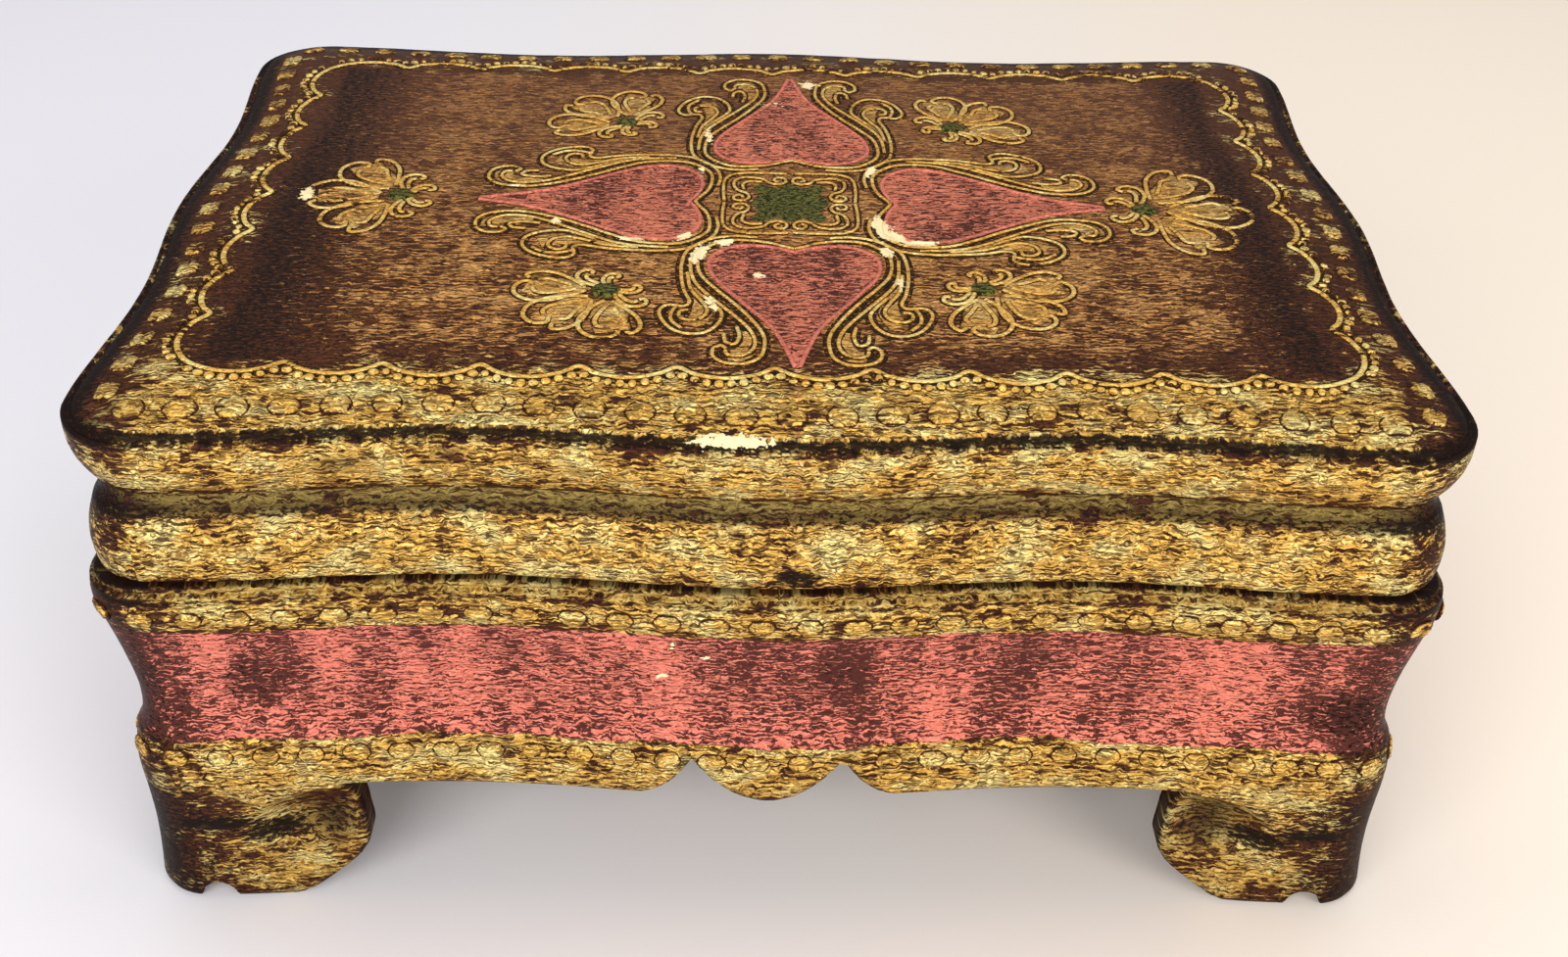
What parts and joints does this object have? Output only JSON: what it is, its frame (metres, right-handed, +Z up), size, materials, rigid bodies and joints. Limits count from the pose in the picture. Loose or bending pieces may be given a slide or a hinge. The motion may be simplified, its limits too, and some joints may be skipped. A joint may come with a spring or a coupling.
{
  "type": "trinket box",
  "caption": "Footed gilded trinket box: wavy moulded sides with a coral cove, shaped apron, bracket feet and a lift-off lid with raised hearts and palmettes.",
  "frame": {"origin": "centre of the box's plan, at the undersides of the feet", "axes": "+X along the box's length to the viewer's right, -Y to the front with the shaped apron, +Z up"},
  "size_m": [0.19, 0.1364, 0.0878],
  "materials": {
    "body_gilding": "worn gold leaf and coral paint over dark glaze on gessoed wood",
    "lid_gilding": "worn gold leaf and brown glaze with coral and green paint on gessoed wood"
  },
  "bodies": {
    "root": {"body": "body_gilding", "lid": "lid_gilding"}
  },
  "joints": []
}
